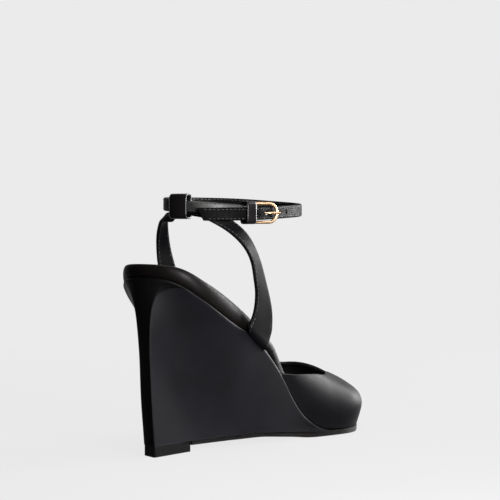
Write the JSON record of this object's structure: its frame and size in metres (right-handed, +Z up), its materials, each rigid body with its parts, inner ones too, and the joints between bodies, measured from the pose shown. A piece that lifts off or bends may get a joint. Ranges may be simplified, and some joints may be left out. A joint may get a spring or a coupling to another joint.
{
  "type": "wedge pump shoe",
  "caption": "High wedge shoe for the right foot with a closed pointed toe, an open heel, a sling that rises to the ankle and a thin buckled ankle strap.",
  "frame": {"origin": "middle of the ground face of the heel top piece, on the floor", "axes": "+X from heel to toe, +Y to the inner side of the foot, +Z up from the floor"},
  "size_m": [0.2054, 0.0723, 0.1348],
  "materials": {
    "core": "matt moulded",
    "black_leather": "smooth, soft sheen",
    "grey_black_leather": "fine grain, cut edges",
    "lining_leather": "smooth, matt",
    "footbed_leather": "smooth, polished",
    "sole_leather": "smooth, waxed edge",
    "top_piece": "hard, satin",
    "board": "fibre board",
    "foam": "soft foam",
    "steel": "plain",
    "gold_metal": "light rose-gold polish"
  },
  "bodies": {
    "shoe": {"wedge_core": "core", "wedge_cover": "black_leather", "heel_top_piece": "top_piece", "top_piece_pins": "steel", "outsole": "sole_leather", "insole_board": "board", "footbed_pad": "foam", "footbed_cover": "footbed_leather", "footbed_sock": "footbed_leather", "shank": "steel", "shank_rivets": "steel", "heel_nails": "steel", "heel_screw": "steel", "vamp_outer": "black_leather", "vamp_lining": "lining_leather", "toe_puff": "board", "lateral_sling_strap": "black_leather", "lateral_sling_lining": "lining_leather", "medial_sling_strap": "black_leather", "medial_sling_lining": "lining_leather", "back_loop": "black_leather"},
    "ankle_strap": {"ankle_strap_billet": "black_leather", "ankle_strap_chape": "grey_black_leather"},
    "buckle": {"buckle_frame": "gold_metal"},
    "prong": {"buckle_prong": "gold_metal"},
    "keeper": {"buckle_keeper": "black_leather"}
  },
  "joints": [
    {"name": "ankle_strap_tilt", "type": "hinge", "parent": "shoe", "child": "ankle_strap", "pos_m": [0.014, 0, 0.1285], "axis": [0, 1, 0], "range_deg": [-3, 1]},
    {"name": "buckle_swing", "type": "hinge", "parent": "ankle_strap", "child": "buckle", "pos_m": [0.04304, -0.02675, 0.1247], "axis": [0, 0, -1], "range_deg": [0, 2]},
    {"name": "prong_swing", "type": "hinge", "parent": "buckle", "child": "prong", "pos_m": [0.04304, -0.02675, 0.1247], "axis": [0, 0, -1], "range_deg": [0, 2]},
    {"name": "keeper_slide", "type": "slide", "parent": "ankle_strap", "child": "keeper", "axis": [-0.9481, 0.3178, 0], "range_m": [0, 0.001]}
  ]
}
